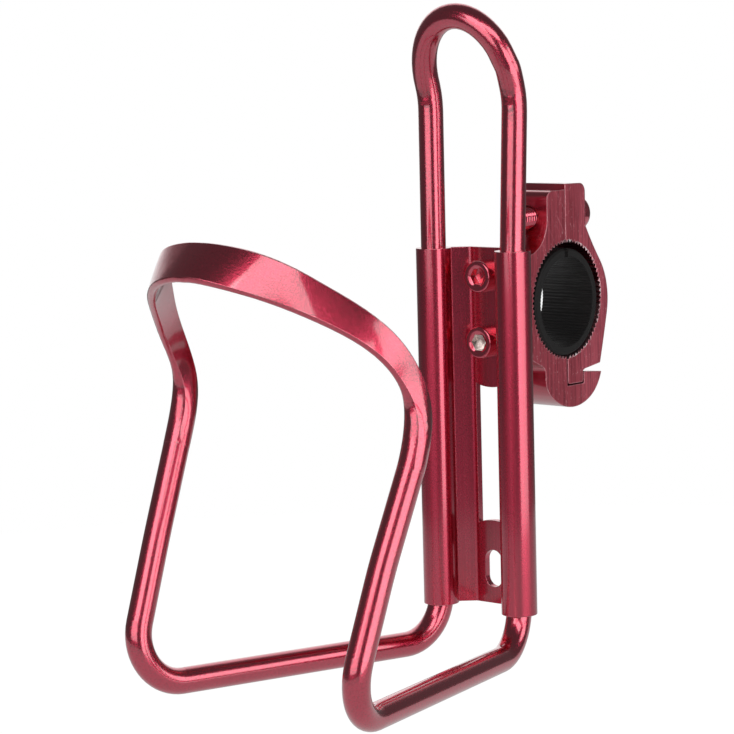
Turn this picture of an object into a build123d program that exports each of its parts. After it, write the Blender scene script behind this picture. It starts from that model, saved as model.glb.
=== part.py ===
import math
import os

from build123d import *

# Water bottle cage with a two-piece handlebar clamp. Millimetres.
# X runs across the back plate, -Y is the bottle side, +Y the handlebar side,
# +Z is up. The origin is on the axis of the bar sleeve.

# ---- driving dimensions -------------------------------------------------
rod_r = 3.25              # cage rod, 6.5 mm
rod_x = 12.6              # half the spacing of the back legs
plate_y = -32.0           # plane of the back legs
bracket_bottom = -77.0
bracket_top = 16.3
channel_r = 4.6           # outside of the bracket's rod channels
channel_bore_r = 3.3
web_front_y = plate_y + 6.3
web_t = 1.8
web_half = 5.6            # half width of the flat of the web

front_half = 37.3         # half the width of the front loop
front_depth = 104.3       # from the back legs to the middle of the band
run_z = -86.85            # height of the rod under the bottle at the plate
# points of the front loop, measured from the plane of the back legs
front_low = (0.9035 * front_half, -0.927 * front_depth, -82.7)   # bottom corner
front_high = (front_half, -0.6424 * front_depth, -12.5)          # the leg points at this
leg_bow = (-0.4, -0.9)
bend_low_r = 12.0
bend_front_r = 11.8

hoop_knee = (13.3, plate_y + 1.1, 54.7)   # where the hoop starts to lean forward
hoop_lean = math.radians(17.9)
hoop_straight = 4.7
hoop_rise = 17.0
hoop_knee_r = 20.0

# centreline of the band from the leg round to the middle of the front
band_base = 24.2          # start of the band above the middle of the front leg
band_path = (
    (0.9651 * front_half, -0.6711 * front_depth, -10.9),
    (0.9035 * front_half, -0.7335 * front_depth, 1.1),
    (0.6622 * front_half, -0.8557 * front_depth, 12.25),
    (0.4692 * front_half, -0.9334 * front_depth, 17.75),
    (0.244 * front_half, -0.9827 * front_depth, 20.85),
    (0.0, -front_depth, 21.9),
)
band_tilt = 0.754         # its broad face stands square to a plane tilted by this
band_lean = 0.18          # and leans further at the two front corners
band_corner = 63.0        # which lie this far along the band
band_w_leg = 6.8          # width of the pressed rod near the leg
band_w_front = 10.8       # and at the front
band_t = 2.3              # its thickness
press_from = 5.75         # where the pressing starts
press_len = 16.6

sleeve_r = 14.1
sleeve_wall = 2.3
sleeve_split = 1.6
sleeve_play = 0.85        # how far it sits down and forward in the clamp's bore
sleeve_bore_r = sleeve_r - sleeve_wall
bore_y = sleeve_play * math.sqrt(0.5)   # axis of the clamp's bore
bore_z = sleeve_play * math.sqrt(0.5)

tooth_crest_r = sleeve_r + sleeve_play + 0.05
tooth_root_r = tooth_crest_r + 0.8
teeth = 72
clamp_k = tooth_root_r / 15.8   # the outline follows the size of the bore
clamp_half = 6.35         # half the width of the clamp along the bar
sleeve_near = clamp_half + 0.35   # the ends of the sleeve along the bar
sleeve_far = -clamp_half - 3.35
base_top = 29.0           # heights and depths below are from the bore's axis
jaw_top = 30.5
bolt_axis_z = bore_z + 21.8 * clamp_k
bolt_head_seat = 7.3 * clamp_k   # the washer lies in a counterbore this deep
bolt_r = 3.0
bolt_head_r = 5.0
bolt_head_h = 6.0
bolt_len = 25.0
bolt_hex = 5.0
washer_t = 1.0

screw_pitch = 17.0
screw_z = 0.6
screw_len = 8.0
screw_shank_r = 2.5
screw_head_r = 4.1
screw_head_h = 4.8
hex_af = 4.0

slot_z = bracket_bottom + 9.2
slot_w = 5.3
slot_len = 9.8
window_half = 4.5
window_low = -55.8
window_high = -19.2

os.makedirs("parts", exist_ok=True)


def vec(p):
    """A point given from the plane of the back legs."""
    return Vector(p[0], p[1] + plate_y, p[2])


# ---- cage rod -----------------------------------------------------------
def corner(a, b, c, r):
    """Tangent points and middle of a bend of radius r at b."""
    a, b, c = Vector(*a), Vector(*b), Vector(*c)
    u = (a - b).normalized()
    w = (c - b).normalized()
    half = math.acos(max(-1.0, min(1.0, u.dot(w)))) / 2
    t = r / math.tan(half)
    centre = b + (u + w).normalized() * (r / math.sin(half))
    mid = centre + (b - centre).normalized() * r
    return b + u * t, mid, b + w * t


def mirrored(p):
    return Vector(-p.X, p.Y, p.Z)


ends_z = -30.0
right_top = Vector(rod_x, plate_y, ends_z)
low_corner = Vector(rod_x, plate_y, run_z)
fl = vec(front_low)
fh = vec(front_high)
bow = (fl + fh) * 0.5 + Vector(leg_bow[0], leg_bow[1], 0)
a1, m1, b1 = corner(right_top, low_corner, fl, bend_low_r)
a2, m2, b2 = corner(low_corner, fl, bow, bend_front_r)
a3, m3, b3 = corner(fl, bow, fh, 150.0)
leg_dir = (fh - bow).normalized()
leg_end = bow + leg_dir * band_base

# hoop
knee = Vector(*hoop_knee)
d_lean = Vector(0, -math.sin(hoop_lean), math.cos(hoop_lean))
top_straight = Vector(rod_x, plate_y, bracket_top)
hs = knee + d_lean * hoop_straight
k1, km, k2 = corner(top_straight, knee, hs, hoop_knee_r)


def hoop_point(deg):
    t = math.radians(deg)
    return Vector(knee.X * math.cos(t), hs.Y, hs.Z) + d_lean * (hoop_rise * math.sin(t))


gap = 0.25

with BuildPart() as rod_right:
    with BuildLine() as path_r:
        Line(right_top, a1)
        ThreePointArc(a1, m1, b1)
        Line(b1, a2)
        ThreePointArc(a2, m2, b2)
        Line(b2, a3)
        ThreePointArc(a3, m3, b3)
        Line(b3, leg_end)
    with BuildSketch(Plane(origin=path_r.line @ 0, z_dir=path_r.line % 0)):
        Circle(rod_r)
    sweep(path=path_r.line)

hoop_pts = [hoop_point(d) for d in (0, 15, 30, 45, 60, 75, 90, 105, 120, 135, 150, 165, 180)]
with BuildPart() as rod_left:
    with BuildLine() as path_l:
        Line(mirrored(leg_end), mirrored(b3))
        ThreePointArc(mirrored(b3), mirrored(m3), mirrored(a3))
        Line(mirrored(a3), mirrored(b2))
        ThreePointArc(mirrored(b2), mirrored(m2), mirrored(a2))
        Line(mirrored(a2), mirrored(b1))
        ThreePointArc(mirrored(b1), mirrored(m1), mirrored(a1))
        Line(mirrored(a1), mirrored(top_straight))
        Line(mirrored(top_straight), mirrored(k1))
        ThreePointArc(mirrored(k1), mirrored(km), mirrored(k2))
        Line(mirrored(k2), mirrored(hs))
        Spline(*list(reversed(hoop_pts)), tangents=[d_lean, d_lean * -1])
        Line(hs, k2)
        ThreePointArc(k2, km, k1)
        Line(k1, top_straight)
        Line(top_straight, right_top + Vector(0, 0, gap))
    with BuildSketch(Plane(origin=path_l.line @ 0, z_dir=path_l.line % 0)):
        Circle(rod_r)
    sweep(path=path_l.line)

# band: sections from the leg round to the middle of the front
before = leg_end - leg_dir * 12
right_side = [before, leg_end] + [vec(p) for p in band_path]
with BuildLine():
    band_curve = Spline(*right_side, *[mirrored(p) for p in reversed(right_side[:-1])])
band_len = band_curve.length / 2 - 12.0


tilt_up = Vector(0, math.sin(band_tilt), math.cos(band_tilt))


def smooth(x):
    x = max(0.0, min(1.0, x))
    return x * x * (3 - 2 * x)


def section(s):
    """Closed section of the band at length s along its centreline."""
    if s < 0:
        p, d = leg_end + leg_dir * s, leg_dir
    else:
        f = (s + 12.0) / (2 * band_len + 24.0)
        p, d = band_curve @ f, band_curve % f
    m = smooth((s - press_from) / press_len)
    flat = (tilt_up - d * tilt_up.dot(d)).normalized()
    lean = band_lean * smooth(1 - abs(s - band_corner) / 16)
    up = flat * math.cos(lean) + flat.cross(d) * math.sin(lean)
    n = up.cross(d)
    width = band_w_leg + (band_w_front - band_w_leg) * smooth((s - 12) / 66)
    r = rod_r + 0.03
    a = r + m * (width / 2 - r)
    b = r + m * (band_t / 2 - r)
    # corners where the flat sides meet the rounded edges
    ca = a * math.sqrt(0.5) + m * (a - 0.55 - a * math.sqrt(0.5))
    cb = b * math.sqrt(0.5) + m * (b - 0.12 - b * math.sqrt(0.5))

    def q(x, y):
        return p + up * x + n * y

    return Wire([
        Edge.make_three_point_arc(q(ca, -cb), q(a, 0), q(ca, cb)),
        Edge.make_three_point_arc(q(ca, cb), q(0, b), q(-ca, cb)),
        Edge.make_three_point_arc(q(-ca, cb), q(-a, 0), q(-ca, -cb)),
        Edge.make_three_point_arc(q(-ca, -cb), q(0, -b), q(ca, -cb)),
    ])


stations = [-1.5, 0.0, 3.0, 6.0, 8.5, 11.0, 13.5, 16.0, 18.5, 21.5]
steps = 9
stations += [21.5 + (band_len - 21.5) * (i + 1) / steps for i in range(steps)]
band_half = Solid.make_loft([section(s) for s in stations], ruled=False)

with BuildPart() as cage_rod:
    add(rod_left.part)
    add(rod_right.part)
    add(band_half)
    add(mirror(band_half, about=Plane.YZ))
cage_rod.part.label = "cage_rod"
export_step(cage_rod.part, "parts/cage_rod.step")

# ---- bracket ------------------------------------------------------------
front = web_front_y
back = web_front_y + web_t
slope_in = 0.72
with BuildPart() as bracket:
    with BuildSketch(Plane.XY.offset(bracket_bottom)):
        with Locations((rod_x, plate_y), (-rod_x, plate_y)):
            Circle(channel_r)
        with BuildLine():
            Polyline(
                (-rod_x + 2.7, plate_y + 2.75),
                (-web_half, front),
                (web_half, front),
                (rod_x - 2.7, plate_y + 2.75),
                (rod_x - 1.4, plate_y + 4.0),
                (web_half + slope_in, back),
                (-web_half - slope_in, back),
                (-rod_x + 1.4, plate_y + 4.0),
                close=True,
            )
        make_face()
        with Locations((rod_x, plate_y), (-rod_x, plate_y)):
            Circle(channel_bore_r, mode=Mode.SUBTRACT)
    extrude(amount=bracket_top - bracket_bottom)
    # the bores open out where the rod starts to bend
    for x in (rod_x, -rod_x):
        with Locations((x, plate_y, bracket_bottom)):
            Cone(channel_bore_r + 0.35, channel_bore_r - 0.01, 3.0,
                 align=(Align.CENTER, Align.CENTER, Align.MIN), mode=Mode.SUBTRACT)
    creases = bracket.edges().filter_by(Axis.Z).filter_by(
        lambda e: abs(abs(e.center().X) - web_half) < 0.01
        or abs(abs(e.center().X) - web_half - slope_in) < 0.01
    )
    fillet(creases, 1.2)
    # long window with its ends bowed inward
    with BuildSketch(Plane.XZ.offset(-(front - 1))):
        with BuildLine():
            w = window_half
            Line((-w, window_low), (-w, window_high))
            ThreePointArc((-w, window_high), (0, window_high - 0.8), (w, window_high))
            Line((w, window_high), (w, window_low))
            ThreePointArc((w, window_low), (0, window_low + 0.8), (-w, window_low))
        make_face()
        with Locations((0, slot_z)):
            SlotOverall(slot_len, slot_w, rotation=90)
        with Locations((0, screw_z + screw_pitch / 2), (0, screw_z - screw_pitch / 2)):
            Circle(2.65)
    extrude(amount=-(web_t + 2), mode=Mode.SUBTRACT)
bracket.part.label = "bracket"
export_step(bracket.part, "parts/bracket.step")


# ---- screws -------------------------------------------------------------
def cap_screw(seat_y, z, length, towards, shank_r, head_r, head_h, hexagon):
    """Socket cap screw along Y; towards is +1 when its shank points to +Y."""
    s = towards
    with BuildPart() as screw:
        with BuildSketch(Plane.YZ):
            r = shank_r
            with BuildLine():
                Polyline(
                    (seat_y - s * head_h, z),
                    (seat_y - s * head_h, z + head_r - 0.5),
                    (seat_y - s * (head_h - 0.5), z + head_r),
                    (seat_y, z + head_r),
                    (seat_y, z + r),
                    (seat_y + s * (length - 0.5), z + r),
                    (seat_y + s * length, z + r - 0.5),
                    (seat_y + s * length, z),
                    close=True,
                )
            make_face()
        revolve(axis=Axis((0, 0, z), (0, 1, 0)))
        face_plane = Plane(origin=(0, seat_y - s * head_h, z), x_dir=(1, 0, 0), z_dir=(0, s, 0))
        with BuildSketch(face_plane):
            RegularPolygon(hexagon / 2 / math.cos(math.pi / 6), 6, rotation=90)
        extrude(amount=head_h * 0.55, mode=Mode.SUBTRACT)
    return screw.part


upper = cap_screw(
    front, screw_z + screw_pitch / 2, screw_len, 1,
    screw_shank_r, screw_head_r, screw_head_h, hex_af,
)
upper.label = "upper_screw"
export_step(upper, "parts/upper_screw.step")
lower = cap_screw(
    front, screw_z - screw_pitch / 2, screw_len, 1,
    screw_shank_r, screw_head_r, screw_head_h, hex_af,
)
lower.label = "lower_screw"
export_step(lower, "parts/lower_screw.step")


# ---- clamp --------------------------------------------------------------
def at(y, z):
    """A point of the clamp's outline, given from the axis of its bore."""
    return (y * clamp_k + bore_y, z * clamp_k + bore_z)


def toothed(sign, split):
    """Half of the toothed bore from bottom to top; sign -1 is the front half."""
    pts = []
    half_teeth = teeth // 2
    step = math.pi / half_teeth
    for k in range(half_teeth):
        a = -math.pi / 2 + step * (k + 0.25)
        b = -math.pi / 2 + step * (k + 0.75)
        for ang, r in ((a, tooth_root_r), (b, tooth_crest_r)):
            y, z = sign * r * math.cos(ang), r * math.sin(ang)
            if sign * (y - split * clamp_k) > 0:
                pts.append((y + bore_y, z + bore_z))
    return pts


# the halves all but touch above the bore and stand apart below it
base_split = -0.35
base_split_low = -0.5
jaw_split = -0.25
jaw_split_low = -0.1
junction = 15.9                   # where the split meets the teeth
pad_back = (back - bore_y) / clamp_k  # the pad's front face lies on the web

with BuildPart() as clamp_base:
    with BuildSketch(Plane.YZ):
        with BuildLine():
            Line(at(base_split, base_top), at(-6.3, base_top))
            RadiusArc(at(-6.3, base_top), at(-8.5, base_top - 2.2), -2.2 * clamp_k)
            Line(at(-8.5, base_top - 2.2), at(-8.5, 22.0))
            RadiusArc(at(-8.5, 22.0), at(-17.5, 13.0), 9.0 * clamp_k)
            Polyline(
                at(-17.5, 13.0),
                at(pad_back, 13.0),
                at(pad_back, -13.4),
                at(-18.5, -13.4),
                at(-11.6, -16.7),
            )
            RadiusArc(at(-11.6, -16.7), at(-10.35, -18.6), 2.2 * clamp_k)
            Line(at(-10.35, -18.6), at(-10.35, -19.9))
            # the hook that holds the jaw's tongue
            ThreePointArc(at(-10.35, -19.9), at(-9.77, -22.61), at(-8.15, -24.85))
            ThreePointArc(at(-8.15, -24.85), at(0.33, -28.81), at(9.58, -27.35))
            ThreePointArc(at(9.58, -27.35), at(13.08, -24.69), at(15.3, -20.9))
            Polyline(
                at(15.3, -20.9),
                at(7.5, -20.0),
                at(7.15, -20.35),
                at(7.15, -23.15),
                at(base_split_low, -23.05),
                at(base_split_low, -junction),
                *toothed(-1, base_split_low),
                at(base_split, junction),
                at(base_split, base_top),
            )
        make_face()
    extrude(amount=clamp_half, both=True)
    # tapped holes for the two screws
    with BuildSketch(Plane.XZ.offset(-back)):
        with Locations((0, screw_z + screw_pitch / 2), (0, screw_z - screw_pitch / 2)):
            Circle(screw_shank_r)
    extrude(amount=-(screw_len - web_t + 0.9), mode=Mode.SUBTRACT)
    # tapped hole for the clamp bolt, chamfered where the bolt comes out
    with Locations(Location((0, bore_y - 5, bolt_axis_z), (90, 0, 0))):
        Cylinder(bolt_r + 0.04, 30, mode=Mode.SUBTRACT)
    with Locations(Location((0, bore_y - 8.5 * clamp_k, bolt_axis_z), (90, 0, 0))):
        Cone(bolt_r, bolt_r + 0.4, 0.4,
             align=(Align.CENTER, Align.CENTER, Align.MAX), mode=Mode.SUBTRACT)
clamp_base.part.label = "clamp_base"
export_step(clamp_base.part, "parts/clamp_base.step")

with BuildPart() as clamp_jaw:
    with BuildSketch(Plane.YZ):
        with BuildLine():
            Line(at(jaw_split, jaw_top), at(6.4, jaw_top - 0.2))
            RadiusArc(at(6.4, jaw_top - 0.2), at(8.9, jaw_top - 2.7), 2.5 * clamp_k)
            Line(at(8.9, jaw_top - 2.7), at(8.9, 19.2))
            ThreePointArc(at(8.9, 19.2), at(8.96, 18.9), at(9.09, 18.62))
            ThreePointArc(at(9.09, 18.62), at(12.01, 13.95), at(15.25, 9.5))
            ThreePointArc(at(15.25, 9.5), at(18.53, 2.54), at(18.44, -5.16))
            ThreePointArc(at(18.44, -5.16), at(16.72, -11.85), at(14.84, -18.5))
            # the tongue that sits in the base's hook
            Polyline(
                at(14.84, -18.5),
                at(7.6, -19.35),
                at(6.75, -19.75),
                at(6.75, -22.3),
                at(6.3, -22.75),
                at(0.35, -22.65),
                at(jaw_split_low, -22.2),
                at(jaw_split_low, -junction),
                *toothed(1, jaw_split_low),
                at(jaw_split, junction),
                at(jaw_split, jaw_top),
            )
        make_face()
    extrude(amount=clamp_half, both=True)
    # bolt hole, longer than it is wide so that the jaw can swing
    with BuildSketch(Plane.XZ.offset(-(bore_y - 2))):
        with Locations((0, bolt_axis_z + 0.1)):
            SlotOverall(2 * bolt_r + 2.4, 2 * bolt_r + 0.6, rotation=90)
    extrude(amount=-14 * clamp_k, mode=Mode.SUBTRACT)
    # counterbore for the washer, longer than it is wide for the same reason
    with BuildSketch(Plane.XZ.offset(-(bore_y + bolt_head_seat))):
        with Locations((0, bolt_axis_z)):
            SlotOverall(2 * bolt_head_r + 2.4, 2 * bolt_head_r + 0.6, rotation=90)
    extrude(amount=-8 * clamp_k, mode=Mode.SUBTRACT)
clamp_jaw.part.label = "clamp_jaw"
export_step(clamp_jaw.part, "parts/clamp_jaw.step")

# clamp bolt and its washer
bolt = cap_screw(
    bore_y + bolt_head_seat + washer_t, bolt_axis_z, bolt_len, -1,
    bolt_r, bolt_head_r, bolt_head_h, bolt_hex,
)
bolt.label = "clamp_bolt"
export_step(bolt, "parts/clamp_bolt.step")

with BuildPart() as washer:
    with BuildSketch(Plane.XZ.offset(-(bore_y + bolt_head_seat))):
        with Locations((0, bolt_axis_z)):
            Circle(bolt_head_r)
            Circle(bolt_r + 0.05, mode=Mode.SUBTRACT)
    extrude(amount=-washer_t)
washer.part.label = "bolt_washer"
export_step(washer.part, "parts/bolt_washer.step")

# ---- sleeve -------------------------------------------------------------
with BuildPart() as sleeve:
    with BuildSketch(Plane.YZ.offset(sleeve_far)):
        Circle(sleeve_r)
        Circle(sleeve_bore_r, mode=Mode.SUBTRACT)
    extrude(amount=sleeve_near - sleeve_far)
    rims = sleeve.edges().filter_by(GeomType.CIRCLE)
    chamfer(rims.filter_by(lambda e: abs(e.radius - sleeve_r) < 0.01), 0.5)
    with Locations(((sleeve_near + sleeve_far) / 2, 0, sleeve_r - sleeve_wall / 2)):
        Box(2 * (sleeve_near - sleeve_far), sleeve_split, 2 * sleeve_wall, mode=Mode.SUBTRACT)
sleeve.part.label = "bar_sleeve"
export_step(sleeve.part, "parts/bar_sleeve.step")
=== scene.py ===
"""Red anodised bottle cage with a handlebar clamp, dressed around its CAD solids."""

import math

import bmesh
import bpy
from mathutils import Matrix, Vector


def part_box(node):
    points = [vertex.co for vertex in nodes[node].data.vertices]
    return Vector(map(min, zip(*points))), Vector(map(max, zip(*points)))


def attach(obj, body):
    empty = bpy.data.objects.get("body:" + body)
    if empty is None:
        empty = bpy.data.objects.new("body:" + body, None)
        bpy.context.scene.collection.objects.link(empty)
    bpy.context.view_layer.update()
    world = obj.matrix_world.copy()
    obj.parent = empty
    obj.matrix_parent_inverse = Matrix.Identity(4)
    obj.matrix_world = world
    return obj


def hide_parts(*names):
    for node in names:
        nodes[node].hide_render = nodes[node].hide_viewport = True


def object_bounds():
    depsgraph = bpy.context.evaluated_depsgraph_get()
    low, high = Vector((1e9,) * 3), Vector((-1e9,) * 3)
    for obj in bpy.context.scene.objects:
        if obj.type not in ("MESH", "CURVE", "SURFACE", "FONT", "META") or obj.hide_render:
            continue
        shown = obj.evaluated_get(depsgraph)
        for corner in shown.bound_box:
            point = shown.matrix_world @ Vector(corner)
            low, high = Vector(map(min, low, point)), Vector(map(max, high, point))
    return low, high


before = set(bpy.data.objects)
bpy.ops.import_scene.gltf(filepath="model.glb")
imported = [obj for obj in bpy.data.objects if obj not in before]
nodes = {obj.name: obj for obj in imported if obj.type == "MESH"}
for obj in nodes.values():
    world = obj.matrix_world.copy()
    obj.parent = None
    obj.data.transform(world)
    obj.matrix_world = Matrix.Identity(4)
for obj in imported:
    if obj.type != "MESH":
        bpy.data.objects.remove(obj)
cad_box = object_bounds()
MM = 0.001
TURN = 2 * math.pi


# ---- node helpers ---------------------------------------------------------
class Graph:
    """A small builder for the nodes of a material or of the world."""

    def __init__(self, owner, output="ShaderNodeOutputMaterial"):
        self.owner = owner
        owner.use_nodes = True
        self.tree = owner.node_tree
        self.tree.nodes.clear()
        self.out = self.node(output)

    def node(self, kind, **settings):
        n = self.tree.nodes.new(kind)
        for key, value in settings.items():
            setattr(n, key, value)
        return n

    def put(self, socket, value):
        """Links an output to the socket, or sets a plain value on it."""
        if hasattr(value, "is_output"):
            self.tree.links.new(value, socket)
        else:
            socket.default_value = value

    def math(self, op, a, b=0.0, c=0.0, clamp=False):
        n = self.node("ShaderNodeMath", operation=op, use_clamp=clamp)
        for socket, value in zip(n.inputs, (a, b, c)):
            self.put(socket, value)
        return n.outputs[0]

    def line(self, value, gain, offset):
        """gain x value + offset."""
        return self.math("MULTIPLY_ADD", value, gain, offset)

    def mask(self, value, gain, offset):
        """gain x value + offset, held between 0 and 1."""
        return self.math("MULTIPLY_ADD", value, gain, offset, clamp=True)

    def times(self, a, b):
        return self.math("MULTIPLY", a, b)

    def vector(self, op, a, b):
        """The number that a vector operation gives."""
        n = self.node("ShaderNodeVectorMath", operation=op)
        self.put(n.inputs[0], a)
        self.put(n.inputs[1], b)
        return n.outputs["Value"]

    def place(self):
        """The point's place in the frame; a node's object sits at the origin."""
        return self.node("ShaderNodeTexCoord").outputs["Object"]

    def noise(self, scale, stretch=(1, 1, 1), detail=2.0, roughness=0.5, rotation=(0, 0, 0)):
        """Noise of scale features per metre, drawn out along axes whose stretch is small."""
        m = self.node("ShaderNodeMapping")
        self.put(m.inputs["Vector"], self.place())
        if any(rotation):
            # as a texture mapping it is turned first, then stretched
            m.vector_type = "TEXTURE"
            stretch = [1 / v for v in stretch]
        m.inputs["Scale"].default_value = stretch
        m.inputs["Rotation"].default_value = rotation
        n = self.node("ShaderNodeTexNoise")
        self.put(n.inputs["Vector"], m.outputs[0])
        n.inputs["Scale"].default_value = scale
        n.inputs["Detail"].default_value = detail
        n.inputs["Roughness"].default_value = roughness
        return n.outputs["Fac"]

    def mix(self, fac, a, b):
        n = self.node("ShaderNodeMix", data_type="RGBA")
        self.put(n.inputs[0], fac)
        for socket, value in ((n.inputs[6], a), (n.inputs[7], b)):
            if isinstance(value, tuple):
                value = (*value, 1)
            self.put(socket, value)
        return n.outputs[2]

    def smooth_step(self, value, low, high, to=(0.0, 1.0)):
        """A smooth change from to[0] at low to to[1] at high."""
        n = self.node("ShaderNodeMapRange", interpolation_type="SMOOTHSTEP")
        self.put(n.inputs["Value"], value)
        for name, number in zip(("From Min", "From Max", "To Min", "To Max"), (low, high, *to)):
            n.inputs[name].default_value = number
        return n.outputs["Result"]

    def bump(self, height, strength, distance, before=None):
        n = self.node("ShaderNodeBump")
        n.inputs["Strength"].default_value = strength
        n.inputs["Distance"].default_value = distance
        self.put(n.inputs["Height"], height)
        if before is not None:
            self.put(n.inputs["Normal"], before)
        return n.outputs[0]

    def shader(self, **values):
        """A Principled shader, and the material that it finishes."""
        p = self.node("ShaderNodeBsdfPrincipled")
        for key, value in values.items():
            if isinstance(value, tuple):
                value = (*value, 1)
            self.put(p.inputs[key.replace("_", " ")], value)
        self.put(self.out.inputs["Surface"], p.outputs[0])
        return self.owner


def material(name):
    return Graph(bpy.data.materials.new(name))


# ---- red anodised aluminium -----------------------------------------------
# anodised dye, light, deep and darkest, and where an edge or a tooth has lost some of it,
# painted lighter, which also stands in as a painted edge highlight
RED = (0.66, 0.046, 0.100)
RED_DEEP = (0.56, 0.033, 0.076)
RED_DARK = (0.27, 0.012, 0.030)
WORN_AND_EDGE_GLINT = (0.92, 0.55, 0.60)
BRACKET_RED = (0.70, 0.050, 0.112)
CLAMP_DEEP = (0.42, 0.026, 0.056)

# noise scales, in features per metre
CLOUD = 70
SPECK = 2300
STREAK = 850
BROAD_STREAK = 210
FOLD = 260
WORN_AND_GLINT_PATCH = 700

GRAIN_DEPTH = 0.03 * MM     # height of the surface grain at grain=1
CREASE_REACH = 6 * MM       # how far the skin is puckered round a sharp bend
CREASE_DEPTH = 0.5 * MM
ALONG_X = (0.008, 1, 1)     # stretches for lines left by extrusion
ALONG_Z = (1, 1, 0.008)


def edge_wear_and_glint(g, radius):
    """A normal rounded at the edges, and a patchy mask of them, for edges painted lighter:
    partly wear, partly a painted edge highlight.
    """
    rounded = g.node("ShaderNodeBevel", samples=6)
    rounded.inputs["Radius"].default_value = radius
    normal = rounded.outputs[0]
    true_normal = g.node("ShaderNodeNewGeometry").outputs["Normal"]
    turned = g.math("SUBTRACT", 1.0, g.vector("DOT_PRODUCT", normal, true_normal))
    edge = g.math("MULTIPLY", turned, 9.0, clamp=True)
    patchy = g.mask(g.noise(WORN_AND_GLINT_PATCH, detail=3, roughness=0.7), 1.6, -0.3)
    return normal, g.times(edge, patchy)


def near(g, places, radius):
    """A mask that is 1 at the places and 0 from radius on."""
    where = g.place()
    total = 0.0
    for place in places:
        part = g.math("DIVIDE", g.vector("DISTANCE", where, place), radius)
        total = g.math("MAXIMUM", total, g.math("SUBTRACT", 1.0, part, clamp=True))
    return g.times(total, total)


def anodised(name, rough=0.26, grain=0.5, lines=None, streaks=0.0, wear_and_glint=0.7,
             edge=0.3 * MM, creases=(), colour=RED, deep=RED_DEEP, coat=1.85, mottle=0.0):
    """Red anodised aluminium; lines is the stretch of its extrusion lines."""
    g = material(name)
    normal, worn_and_glint = edge_wear_and_glint(g, edge)
    cloud = g.noise(CLOUD, detail=4, roughness=0.6)
    base = g.mix(cloud, colour, deep)
    speck = g.noise(SPECK, detail=3, roughness=0.7)
    base = g.mix(g.mask(speck, 4.0 * mottle, -1.85 * mottle), base, RED_DARK)
    roughness = g.line(cloud, 0.10, rough - 0.05)
    roughness = g.math("ADD", roughness, g.line(speck, 0.10, -0.05))
    normal = g.bump(speck, 1.0, grain * GRAIN_DEPTH, normal)
    if lines:
        streak = g.noise(STREAK, stretch=lines, detail=4, roughness=0.7)
        broad = g.noise(BROAD_STREAK, stretch=lines, detail=2)
        base = g.mix(g.mask(broad, 4.0 * streaks, -1.9 * streaks), base, RED_DARK)
        base = g.mix(g.mask(streak, 2.4 * streaks, -0.9 * streaks), base, RED_DARK)
        normal = g.bump(streak, 0.35, 0.04 * MM, normal)
        roughness = g.math("ADD", roughness, g.line(streak, 0.12, -0.06))
    if creases:
        pucker = near(g, creases, CREASE_REACH)
        folds = g.noise(FOLD, stretch=(1, 1, 1.8), detail=1)
        normal = g.bump(g.times(folds, pucker), 1.0, CREASE_DEPTH, normal)
    # edges painted lighter: partly worn anodising, partly a painted edge highlight
    base = g.mix(g.times(worn_and_glint, wear_and_glint), base, WORN_AND_EDGE_GLINT)
    return g.shader(
        Base_Color=base, Metallic=1.0, Roughness=roughness, Normal=normal,
        Coat_Weight=1.0, Coat_Roughness=0.09, Coat_IOR=coat,
    )


# where the rod is pressed flat, and where its hoop bends, on both sides
PRESS_START = (0.0378, -0.1048, -0.0158)
HOOP_BEND = (0.0136, -0.0338, 0.0535)
rod_creases = [(side * x, y, z) for x, y, z in (PRESS_START, HOOP_BEND) for side in (-1, 1)]

rod_mat = anodised("rod_anodised", rough=0.19, grain=1.6, creases=rod_creases, mottle=0.6)
bracket_mat = anodised(
    "bracket_anodised", rough=0.28, grain=0.5, lines=ALONG_Z, streaks=0.5,
    colour=BRACKET_RED, coat=1.68,
)
clamp_mat = anodised(
    "clamp_anodised", rough=0.3, grain=0.35, lines=ALONG_X, streaks=0.35, wear_and_glint=0.95,
    edge=0.4 * MM, colour=RED_DEEP, deep=CLAMP_DEEP,
)
screw_mat = anodised("screw_anodised", rough=0.2, grain=0.4, wear_and_glint=0.9, edge=0.2 * MM)

# ---- the clamp's sawn sides -----------------------------------------------
SAWN_LIGHT = (0.64, 0.105, 0.148)
SAWN_DEEP = (0.46, 0.070, 0.100)
# a painted highlight on the back of the jaw's side
JAW_PAINTED_HIGHLIGHT = (0.74, 0.150, 0.205)
SAW_MARK = (0.17, 0.020, 0.032)
SCRATCH = (0.74, 0.24, 0.30)
# bare metal on the tooth tips, partly a painted glint
BARE_TIP_AND_GLINT = (0.96, 0.90, 0.90)

JAW_HIGHLIGHT_FROM, JAW_HIGHLIGHT_TO = 3.5 * MM, 9.5 * MM       # Y over which the jaw's side gets a painted highlight
SCRATCHED = (6.4 * MM, -3.5 * MM, 25 * MM)      # top of the front arm
SCRATCH_REACH = 14 * MM
SCRATCH_TILT = 0.95
TOOTH_CENTRE = (0, 0.6 * MM, 0.6 * MM)
TOOTH_TIP_R = 15.75 * MM


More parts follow.
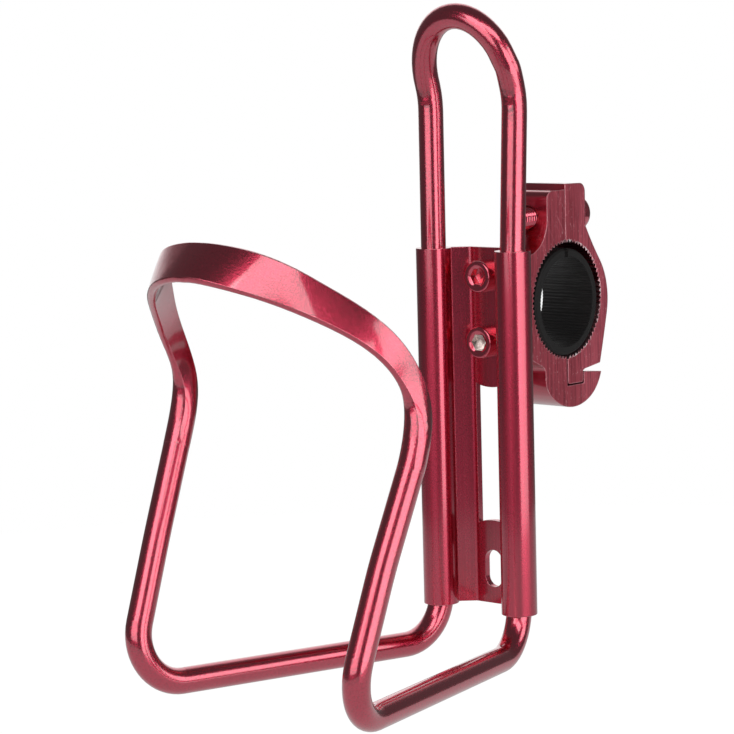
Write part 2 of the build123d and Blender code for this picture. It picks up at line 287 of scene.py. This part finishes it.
def sawn(name, light, deep):
    """The clamp's sawn side faces: duller, with saw marks, scratches, a painted highlight
    towards the back of the jaw, tooth tips painted near white as bare metal and painted glints,
    and edges painted lighter as wear and painted highlight.
    """
    g = material(name)
    normal, worn_and_glint = edge_wear_and_glint(g, 0.5 * MM)
    marks = g.noise(1500, stretch=(1, 1, 0.035), detail=4, roughness=0.75)
    base = g.mix(g.noise(110, detail=4, roughness=0.6), light, deep)

    # painted highlight: the jaw's side is painted lighter towards its swept back than in the
    # middle of the clamp
    axes = g.node("ShaderNodeSeparateXYZ")
    g.put(axes.inputs[0], g.place())
    jaw_highlight = g.smooth_step(axes.outputs["Y"], JAW_HIGHLIGHT_FROM, JAW_HIGHLIGHT_TO)
    base = g.mix(g.times(jaw_highlight, 0.75), base, JAW_PAINTED_HIGHLIGHT)
    base = g.mix(g.mask(marks, 3.2, -1.35), base, SAW_MARK)

    # scratches that cross near the top of the front arm
    ways = [
        g.noise(1700, stretch=(1, 0.05, 1), detail=2, rotation=(tilt, 0, 0))
        for tilt in (SCRATCH_TILT, -SCRATCH_TILT)
    ]
    hatched = g.mask(g.math("MAXIMUM", *ways), 9.0, -5.5)
    scratched = g.times(near(g, [SCRATCHED], SCRATCH_REACH), 0.8)
    base = g.mix(g.times(hatched, scratched), base, SCRATCH)

    # small light flecks along the saw marks
    fleck = g.mask(g.noise(2600, stretch=(1, 1, 0.3), detail=2, roughness=0.8), 16.0, -10.2)
    base = g.mix(g.times(fleck, 0.6), base, WORN_AND_EDGE_GLINT)

    # the tips of the teeth painted near white, mostly on the jaw's side: partly bare metal,
    # partly painted glints where the light catches them
    flat = g.node("ShaderNodeCombineXYZ")
    g.put(flat.inputs["Y"], axes.outputs["Y"])
    g.put(flat.inputs["Z"], axes.outputs["Z"])
    reach = g.vector("DISTANCE", flat.outputs[0], TOOTH_CENTRE)
    tips = g.math("LESS_THAN", reach, TOOTH_TIP_R)
    glint_side = g.mask(axes.outputs["Y"], 220.0, 0.55)
    chipped = g.mask(g.noise(420, detail=2), 9.0, -4.3)
    base = g.mix(g.times(tips, g.times(chipped, glint_side)), base, BARE_TIP_AND_GLINT)

    # edges painted lighter: partly worn anodising, partly a painted edge highlight
    base = g.mix(g.times(worn_and_glint, 0.9), base, WORN_AND_EDGE_GLINT)
    normal = g.bump(marks, 0.9, 0.08 * MM, normal)
    normal = g.bump(fleck, 0.4, 0.04 * MM, normal)
    return g.shader(
        Base_Color=base, Metallic=0.85, Normal=normal, Coat_Weight=0.3, Coat_Roughness=0.3,
        Roughness=g.line(marks, 0.25, 0.33),
    )


sawn_mat = sawn("clamp_sawn", SAWN_LIGHT, SAWN_DEEP)

# ---- teeth, sleeve and bare socket ----------------------------------------
g = material("tooth_cut")
tooth_mat = g.shader(
    Base_Color=g.mix(g.noise(900, detail=3), (0.90, 0.72, 0.74), (0.62, 0.22, 0.26)),
    Metallic=1.0, Roughness=0.38, Normal=g.bump(g.noise(2500, detail=2), 0.5, 0.04 * MM),
)

g = material("sleeve_plastic")
drawn = g.noise(620, stretch=(0.012, 1, 1), detail=5, roughness=0.75)
sleeve_mat = g.shader(
    Base_Color=g.mix(drawn, (0.008, 0.008, 0.008), (0.030, 0.028, 0.028)),
    Roughness=g.line(drawn, 0.25, 0.18), Normal=g.bump(drawn, 1.0, 0.6 * MM),
)

g = material("sleeve_rim")
fine = g.noise(1200, detail=4, roughness=0.7)
rim_mat = g.shader(
    Base_Color=g.mix(fine, (0.006, 0.006, 0.006), (0.014, 0.013, 0.013)),
    Roughness=0.6, Specular_IOR_Level=0.25, Normal=g.bump(fine, 0.4, 0.06 * MM),
)

g = material("socket_bare")
brushed = g.noise(1300, stretch=(1, 0.15, 1), detail=4, roughness=0.7)
bare_mat = g.shader(
    Base_Color=g.mix(brushed, (0.86, 0.80, 0.77), (0.50, 0.42, 0.40)), Metallic=1.0,
    Roughness=g.line(brushed, 0.15, 0.12), Normal=g.bump(brushed, 0.4, 0.05 * MM),
)


# ---- finishes of the CAD solids -------------------------------------------
BORE_R = 16.0 * MM      # the clamp's faces that look inwards within this radius are teeth


def finish_mesh(o, mats, pick=None, angle=32):
    """Gives a mesh its materials, smooth faces and sharp edges."""
    o.data.materials.clear()
    for m in mats:
        o.data.materials.append(m)
    for p in o.data.polygons:
        p.use_smooth = True
        if pick:
            p.material_index = pick(p.center, p.normal)
    o.data.set_sharp_from_angle(angle=math.radians(angle))
    return o


def clamp_face(centre, normal):
    """Sawn sides are 1, teeth are 2, extruded faces are 0."""
    if abs(normal.x) > 0.8:
        return 1
    looks_in = normal.y * centre.y + normal.z * centre.z < 0
    return 2 if looks_in and math.hypot(centre.y, centre.z) < BORE_R else 0


finish_mesh(nodes["cage_rod"], [rod_mat])
finish_mesh(nodes["bracket"], [bracket_mat])
finish_mesh(nodes["clamp_base"], [clamp_mat, sawn_mat, tooth_mat], clamp_face)
finish_mesh(nodes["clamp_jaw"], [clamp_mat, sawn_mat, tooth_mat], clamp_face)
finish_mesh(nodes["bolt_washer"], [screw_mat])
# these are replaced below, and keep a finish of their own all the same
for hidden, look in (("upper_screw", screw_mat), ("lower_screw", screw_mat),
                     ("clamp_bolt", screw_mat), ("bar_sleeve", sleeve_mat)):
    finish_mesh(nodes[hidden], [look])


# ---- screws that replace the plain CAD ones -------------------------------
M5 = {"shank_r": 2.5 * MM, "head_h": 4.8 * MM, "hexagon": 4.0 * MM, "rounding": 0.45 * MM}
M6 = {"shank_r": 3.0 * MM, "head_h": 6.0 * MM, "hexagon": 5.0 * MM, "rounding": 1.5 * MM}
M6_THREAD = (1.0 * MM, 10 * MM)     # pitch, and length from the tip
SCREW_SIDES = 48
THREAD_STEPS = 8                    # rings along one pitch
ROUNDING_STEPS = 6
POINT_R = 0.05 * MM                 # ring that closes a face in its middle
SEAT_BEVEL = 0.12 * MM
TIP_LENGTH = 0.5 * MM               # of the bevelled tip
TIP_STEP = 0.6 * MM                 # how much thinner its end is
SIXTH = math.pi / 3


def add_mesh(name, verts, faces):
    m = bpy.data.meshes.new(name)
    m.from_pydata(verts, [], faces)
    m.validate()
    o = bpy.data.objects.new(name, m)
    bpy.context.scene.collection.objects.link(o)
    b = bmesh.new()
    b.from_mesh(m)
    bmesh.ops.recalc_face_normals(b, faces=b.faces)
    b.to_mesh(m)
    b.free()
    return o


def tube_faces(rings, n):
    """Quads between neighbouring rings of n points each."""
    return [
        (r * n + i, r * n + (i + 1) % n, (r + 1) * n + (i + 1) % n, (r + 1) * n + i)
        for r in range(rings - 1) for i in range(n)
    ]


def middle_z(box):
    return (box[0][2] + box[1][2]) / 2


def socket_screw(name, box, towards, shank_r, head_h, hexagon, rounding, thread=None):
    """Socket cap screw along Y in a CAD screw's box; towards is the way from head to tip."""
    low, high = box
    face_y, tip_y = (low[1], high[1]) if towards > 0 else (high[1], low[1])
    head_r = (high[0] - low[0]) / 2
    z = middle_z(box)
    flat = hexagon / 2
    corner = flat / math.cos(SIXTH / 2)
    rings = []

    def ring(y, radius):
        rings.append([
            (radius(t) * math.sin(t), y, z + radius(t) * math.cos(t))
            for t in (TURN * i / SCREW_SIDES for i in range(SCREW_SIDES))
        ])

    def below_face(depth):
        return face_y + towards * depth

    def hexed(t):
        return flat / math.cos((t + SIXTH / 2) % SIXTH - SIXTH / 2)

    # the socket, from its pointed bottom to the chamfer round its mouth
    socket = 0.55 * head_h
    ring(below_face(socket + 0.35 * MM), lambda t: POINT_R)
    ring(below_face(socket), hexed)
    ring(below_face(0.30 * MM), hexed)
    ring(below_face(0.28 * MM), lambda t: hexed(t) + 0.03 * MM)
    ring(below_face(0.04 * MM), lambda t: corner + 0.36 * MM)
    ring(face_y, lambda t: corner + 0.46 * MM)

    # the head's rounded rim and its seat
    for step in range(ROUNDING_STEPS + 1):
        turn = math.pi / 2 * step / ROUNDING_STEPS
        rim_r = head_r - rounding * (1 - math.sin(turn))
        ring(below_face(rounding * (1 - math.cos(turn))), lambda t: rim_r)
    seat_y = below_face(head_h)
    ring(seat_y - towards * SEAT_BEVEL, lambda t: head_r)
    ring(seat_y, lambda t: head_r - SEAT_BEVEL)
    ring(seat_y, lambda t: shank_r)

    # the shank, and its thread as a groove that runs in over one pitch
    if thread:
        pitch, length = thread
        steps = int(length / pitch) * THREAD_STEPS
        cut = 0.55 * pitch
        for k in range(steps + 1):
            y = tip_y - towards * (length * (1 - k / steps) + TIP_LENGTH)
            run_in = min(1, k / THREAD_STEPS)

            def helix(t):
                phase = (y / pitch + t / TURN) % 1
                return shank_r - cut * run_in * max(0, abs(2 * phase - 1) - 0.12)

            ring(y, helix)
    else:
        ring(tip_y - towards * TIP_LENGTH, lambda t: shank_r)
    ring(tip_y, lambda t: shank_r - TIP_STEP)
    ring(tip_y, lambda t: POINT_R)

    faces = tube_faces(len(rings), SCREW_SIDES)
    last = (len(rings) - 1) * SCREW_SIDES
    faces += [tuple(range(SCREW_SIDES)), tuple(range(last, last + SCREW_SIDES))]
    return add_mesh(name, [v for r in rings for v in r], faces)


def socket_face(box, reach=2.4 * MM, start=0.5 * MM, stop=3.5 * MM):
    """Faces inside a screw's hexagon are 1, from start to stop below the head's face."""
    z = middle_z(box)
    face_y = box[0][1]

    def pick(centre, normal):
        inside = math.hypot(centre.x, centre.z - z) < reach
        return 1 if inside and face_y + start < centre.y < face_y + stop else 0
    return pick


for name, bare in (("upper_screw", False), ("lower_screw", True)):
    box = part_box(name)
    piece = socket_screw(name + "_detail", box, 1, **M5)
    finish_mesh(piece, [screw_mat, bare_mat], socket_face(box) if bare else None, angle=38)
    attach(piece, "cage")
    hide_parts(name)

bolt = socket_screw("clamp_bolt_detail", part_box("clamp_bolt"), -1, thread=M6_THREAD, **M6)
finish_mesh(bolt, [screw_mat], angle=50)
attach(bolt, "bolt")
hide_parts("clamp_bolt")


# ---- the ribbed sleeve that replaces the plain one ------------------------
SLEEVE_R = 14.1 * MM
SLEEVE_BORE_R = 11.8 * MM
OUTER_CHAMFER = 0.5 * MM
BORE_CHAMFER = 0.1 * MM
SPLIT_ANGLE = math.asin(0.8 / 12.95)    # half the split over the wall's middle radius
GROOVE = 0.16 * MM
RIBS = 84
STEPS_PER_RIB = 6


def ribbed_sleeve(name):
    """Split sleeve with fine ribs along its bore."""
    (x0, _, _), (x1, _, _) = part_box("bar_sleeve")
    steps = RIBS * STEPS_PER_RIB
    verts = []
    for i in range(steps + 1):
        t = SPLIT_ANGLE + (TURN - 2 * SPLIT_ANGLE) * i / steps
        bore = SLEEVE_BORE_R + GROOVE * (0.5 - 0.5 * math.cos(TURN * i / STEPS_PER_RIB))
        section = (
            (bore, x0 + BORE_CHAMFER), (bore, x1 - BORE_CHAMFER),
            (bore + BORE_CHAMFER, x1), (SLEEVE_R - OUTER_CHAMFER, x1),
            (SLEEVE_R, x1 - OUTER_CHAMFER), (SLEEVE_R, x0 + OUTER_CHAMFER),
            (SLEEVE_R - OUTER_CHAMFER, x0), (bore + BORE_CHAMFER, x0),
        )
        verts += [(x, r * math.sin(t), r * math.cos(t)) for r, x in section]
    around = len(section)
    faces = tube_faces(steps + 1, around)
    faces += [tuple(range(around)), tuple(range(steps * around, (steps + 1) * around))]
    return add_mesh(name, verts, faces)


def sleeve_face(centre, normal):
    """The rims at both ends are 1."""
    return 1 if abs(normal.x) > 0.5 else 0


sleeve = ribbed_sleeve("bar_sleeve_ribbed")
finish_mesh(sleeve, [sleeve_mat, rim_mat], sleeve_face, angle=40)
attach(sleeve, "cage")
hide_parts("bar_sleeve")

# ---- floor ----------------------------------------------------------------
FLOOR_DROP = 0.10           # below the object, so that its shadow is soft
FLOOR_R = 0.72
FLOOR_SIDES = 96
FLOOR_IN_METAL = 0.56       # how bright metal sees the floor
FLOOR_TO_CAMERA = 1.10      # makes up for the share that is shaded
GLOW_SHARE = 0.9            # the rest is shaded, and keeps the object's shadow


def straight_rays(g):
    """1 for rays from the camera or through glass, and the light path's node."""
    path = g.node("ShaderNodeLightPath")
    through = g.math(
        "MAXIMUM", path.outputs["Is Camera Ray"], path.outputs["Is Transmission Ray"])
    return through, path


floor_z = cad_box[0][2] - FLOOR_DROP
mesh = bpy.data.meshes.new("floor")
angles = [TURN * i / FLOOR_SIDES for i in range(FLOOR_SIDES)]
mesh.from_pydata(
    [(FLOOR_R * math.cos(t), FLOOR_R * math.sin(t), floor_z) for t in angles],
    [], [range(FLOOR_SIDES)])
floor = bpy.data.objects.new("floor", mesh)
bpy.context.scene.collection.objects.link(floor)

g = material("floor_pale")
through, path = straight_rays(g)
seen = g.math("MAXIMUM", through, path.outputs["Is Glossy Ray"])
diffuse = g.node("ShaderNodeBsdfDiffuse")
diffuse.inputs["Color"].default_value = (0.8, 0.8, 0.8, 1)
white = g.node("ShaderNodeEmission")
white.inputs["Color"].default_value = (1, 1, 1, 1)
g.put(white.inputs["Strength"],
      g.line(through, FLOOR_TO_CAMERA - FLOOR_IN_METAL, FLOOR_IN_METAL))
blend = g.node("ShaderNodeMixShader")
g.put(blend.inputs[0], g.times(seen, GLOW_SHARE))
g.put(blend.inputs[1], diffuse.outputs[0])
g.put(blend.inputs[2], white.outputs[0])
g.put(g.out.inputs["Surface"], blend.outputs[0])
mesh.materials.append(g.owner)

# ---- camera ---------------------------------------------------------------
LENS = 127.52
CAMERA_AT = (0.39870, -0.56032, 0.07293)
AZIMUTH = 39.43945          # degrees, of the viewer from -Y towards +X
ELEVATION = 7.42438
ROLL = -1.53557

az, el, roll = (math.radians(angle) for angle in (AZIMUTH, ELEVATION, ROLL))
back = Vector((math.sin(az) * math.cos(el), -math.cos(az) * math.cos(el), math.sin(el)))
level = Vector((math.cos(az), math.sin(az), 0))
right = level * math.cos(roll) + back.cross(level) * math.sin(roll)
up = back.cross(right)

cam_data = bpy.data.cameras.new("camera")
cam_data.sensor_width = 36.0
cam_data.lens = LENS
cam_data.clip_end = 20
camera = bpy.data.objects.new("camera", cam_data)
bpy.context.scene.collection.objects.link(camera)
camera.matrix_world = Matrix((
    (right.x, up.x, back.x, CAMERA_AT[0]),
    (right.y, up.y, back.y, CAMERA_AT[1]),
    (right.z, up.z, back.z, CAMERA_AT[2]),
    (0, 0, 0, 1),
))
bpy.context.scene.camera = camera

# level directions from the object, to the viewer and to the viewer's right
front_way = Vector((back.x, back.y, 0)).normalized()
side_way = Vector((right.x, right.y, 0)).normalized()

# ---- world: a dim room with a white backdrop behind the object ------------
ROOM = 0.12                 # how bright metal sees the room
BACKDROP_TILT = 0.36        # the backdrop's middle is this much above the level
BACKDROP_EDGE = (-0.80, -0.93)

world = bpy.data.worlds.new("studio")
bpy.context.scene.world = world
g = Graph(world, "ShaderNodeOutputWorld")
through, _ = straight_rays(g)
way = g.node("ShaderNodeTexCoord").outputs["Generated"]
away = g.vector("DOT_PRODUCT", way, (front_way - Vector((0, 0, BACKDROP_TILT))).normalized())
backdrop = g.smooth_step(away, *BACKDROP_EDGE, to=(ROOM, 1.0))
sky = g.node("ShaderNodeBackground")
g.put(sky.inputs["Strength"], g.math("MAXIMUM", through, backdrop))
sky.inputs["Color"].default_value = (1, 1, 1, 1)
g.put(g.out.inputs["Surface"], sky.outputs[0])

# ---- lamps ----------------------------------------------------------------
LAMP_DISTANCE = 1.3
lamp_centre = Vector((0.0, -0.057, -0.01))


def softbox(name, azimuth, elevation, radiance):
    """A soft lamp that fills a range of directions, in degrees; azimuth is to the right."""
    az, el = (math.radians(sum(span) / 2) for span in (azimuth, elevation))
    wide, tall = (math.radians(span[1] - span[0]) for span in (azimuth, elevation))
    level = front_way * math.cos(az) + side_way * math.sin(az)
    d = level * math.cos(el) + Vector((0, 0, math.sin(el)))
    data = bpy.data.lights.new(name, "AREA")
    data.shape = "RECTANGLE"
    data.size = 2 * LAMP_DISTANCE * math.tan(wide / 2) * math.cos(el)
    data.size_y = 2 * LAMP_DISTANCE * math.tan(tall / 2)
    data.energy = radiance * math.pi * data.size * data.size_y
    o = bpy.data.objects.new(name, data)
    bpy.context.scene.collection.objects.link(o)
    o.location = lamp_centre + d * LAMP_DISTANCE
    o.rotation_euler = (-d).to_track_quat("-Z", "Y").to_euler()


softbox("right_low", (21, 62), (-24, 20), 2.25)
softbox("right_side", (62, 74), (-20, 3), 1.9)
softbox("right_high", (65, 92), (3, 27), 2.1)
softbox("left_low", (-60, -10), (-5, 20), 1.6)
softbox("left_high", (-50, -8), (20, 46), 2.3)
softbox("middle_high", (-6, 46), (29, 50), 2.3)

bpy.context.scene.view_settings.view_transform = "Standard"
